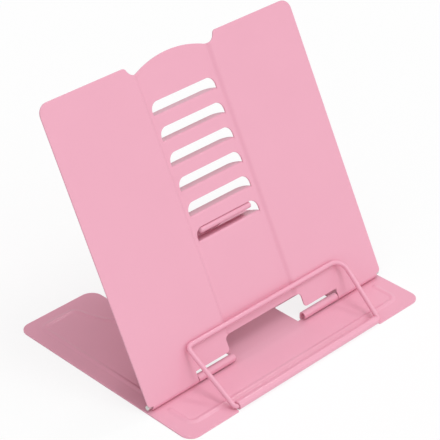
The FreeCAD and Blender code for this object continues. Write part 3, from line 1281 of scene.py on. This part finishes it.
@dataclass(frozen=True)
class SoftSun:
    """A broad, even lamp a long way off."""

    name: str
    azimuth: float
    elevation: float
    strength: float
    spread: float

    def hang(self) -> None:
        """Adds the lamp."""
        data = bpy.data.lights.new(self.name, "SUN")
        data.energy = self.strength
        data.angle = math.radians(self.spread)
        lamp = bpy.data.objects.new(self.name, data)
        across, up = math.radians(self.azimuth), math.radians(self.elevation)
        level = Vector((math.sin(across), -math.cos(across), 0))
        towards = level * math.cos(up) + Z_AXIS * math.sin(up)
        lamp.rotation_euler = towards.to_track_quat("Z", "Y").to_euler()
        bpy.context.scene.collection.objects.link(lamp)


@dataclass(frozen=True)
class Studio:
    """A white table in even light, seen by the photograph's camera."""

    front_sky: float = 0.83
    rear_sky: float = 0.2
    left_share: float = 0.15
    bright_side: tuple[float, float, float] = (0.0, -0.884, 0.468)
    passage: float = 0.2
    floor_half: float = 4.0
    floor_colour: Colour = (0.9, 0.9, 0.9)
    white_share: float = 0.8
    camera_place: tuple[float, float, float] = (-0.62359, -0.62704, 0.62462)
    camera_azimuth: float = -44.748
    camera_elevation: float = 32.154
    camera_roll: float = 0.045
    focal_pixels: float = 1751.46
    image_width: float = 440.0
    sensor_width: float = 36.0
    suns: tuple[SoftSun, ...] = (
        SoftSun("front", 20.0, 25.0, 0.2, 40.0),
        SoftSun("top", 30.0, 70.0, 0.68, 28.0),
        SoftSun("rim", 118.0, 52.0, 0.24, 6.0),
    )

    def seen_directly(self, board: Board) -> Wire:
        """Tells where the camera sees a surface itself, or its mirror image in metal or gloss.

        Args:
            board: The node tree that asks.

        Returns:
            1 there and 0 elsewhere.
        """
        camera = board.node("ShaderNodeLightPath", {}, {}, "Is Camera Ray")
        glossy = board.node("ShaderNodeLightPath", {}, {}, "Is Glossy Ray")
        clear = board.node("ShaderNodeLightPath", {}, {}, "Is Transmission Ray")
        return camera.at_least(glossy).at_least(clear)

    def lay_floor(self) -> None:
        """Adds the table, which keeps the object's shadow."""
        mesh = bmesh.new()
        bmesh.ops.create_grid(mesh, x_segments=1, y_segments=1, size=self.floor_half)
        data = bpy.data.meshes.new("floor")
        mesh.to_mesh(data)
        mesh.free()
        made = bpy.data.materials.new("white_table")
        made.use_nodes = True
        board = Board(made.node_tree)
        matt = board.node("ShaderNodeBsdfDiffuse", {}, {"Color": (*self.floor_colour, 1)})
        bright = board.node("ShaderNodeBsdfDiffuse", {}, {"Color": WHITE})
        glow = board.node("ShaderNodeEmission", {}, {"Color": WHITE, "Strength": 1.0})
        shown = board.node("ShaderNodeMixShader", {}, {0: self.white_share, 1: bright, 2: glow})
        seen = self.seen_directly(board)
        both = board.node("ShaderNodeMixShader", {}, {0: seen, 1: matt, 2: shown})
        board.node("ShaderNodeOutputMaterial", {}, {"Surface": both})
        data.materials.append(made)
        floor = bpy.data.objects.new("floor", data)
        bpy.context.scene.collection.objects.link(floor)

    def light(self) -> None:
        """Adds the even surrounding light and the lamps."""
        world = bpy.data.worlds.new("studio")
        bpy.context.scene.world = world
        world.use_nodes = True
        board = Board(world.node_tree)
        direction = board.node("ShaderNodeTexCoord", {}, {}, "Generated")
        facing = board.node(
            "ShaderNodeVectorMath", {"operation": "DOT_PRODUCT"},
            {0: direction, 1: self.bright_side}, "Value",
        )
        level = board.node("ShaderNodeMapRange", {"interpolation_type": "SMOOTHSTEP"}, {
            "Value": facing, "From Min": -self.passage, "From Max": self.passage,
            "To Min": self.rear_sky, "To Max": self.front_sky,
        })
        across = board.node("ShaderNodeSeparateXYZ", {}, {0: direction}, "X")
        level = level * (1 - across * self.left_share)
        seen = self.seen_directly(board)
        strength = seen + (1 - seen) * level
        sky = board.node("ShaderNodeBackground", {}, {"Color": WHITE, "Strength": strength})
        board.node("ShaderNodeOutputWorld", {}, {"Surface": sky})
        for sun in self.suns:
            sun.hang()

    def set_camera(self) -> None:
        """Places the camera at the photograph's angle and distance."""
        across = math.radians(self.camera_azimuth)
        up = math.radians(self.camera_elevation)
        lean = math.radians(self.camera_roll)
        level = Vector((math.cos(across), math.sin(across), 0))
        ahead = Vector((-math.sin(across), math.cos(across), 0))
        back = -ahead * math.cos(up) + Z_AXIS * math.sin(up)
        right = level * math.cos(lean) + back.cross(level) * math.sin(lean)
        place = Matrix((right, back.cross(right), back)).transposed().to_4x4()
        place.translation = Vector(self.camera_place)
        data = bpy.data.cameras.new("camera")
        data.sensor_width = self.sensor_width
        data.lens = self.focal_pixels / self.image_width * data.sensor_width
        camera = bpy.data.objects.new("camera", data)
        camera.matrix_world = place
        bpy.context.scene.collection.objects.link(camera)
        bpy.context.scene.camera = camera
        bpy.context.scene.view_settings.view_transform = "Standard"


def make_stand() -> None:
    """Builds every piece of the stand."""
    size = Stand()
    coat = PowderCoat(
        "pink_coat", colour=(0.84, 0.405, 0.52), deep_colour=(0.80, 0.375, 0.485),
    ).material()
    steel = DrawnSteel(
        "drawn_steel", colour=(0.72, 0.70, 0.68), dull_colour=(0.50, 0.48, 0.46),
    ).material()
    BaseSheet(size, "base_sheet", "base_plate", Body.BASE, Slot.SHEET, coat).make()
    PanelSheet(size, "panel_sheet", "back_panel", Body.PANEL, Slot.SHEET, coat).make()
    PropSheet(size, "prop_sheet", "support_prop", Body.PROP, Slot.SHEET, coat).make()
    HolderWire(size, "holder_wire", "page_bail", Body.HOLDER, Slot.WIRE, coat).make()
    outer, inner, half = size.pin_outer, size.pin_inner, size.prop_pin_half
    for name, node, start, end, axis_y in (
        ("left_hinge_pin", "left_panel_pin", -outer, -inner, size.hinge_y),
        ("right_hinge_pin", "right_panel_pin", inner, outer, size.hinge_y),
        ("prop_hinge_pin", "prop_pin", -half, half, size.prop_axis_y),
    ):
        HingePin(
            size, name, node, Body.BASE, Slot.PIN, steel, start=start, end=end, axis_y=axis_y,
        ).make()


def main() -> None:
    logging.basicConfig(level=logging.INFO, format="%(name)s: %(message)s")
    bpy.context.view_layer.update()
    make_stand()
    studio = Studio()
    studio.lay_floor()
    studio.light()
    studio.set_camera()


if __name__ == "__main__":
    main()
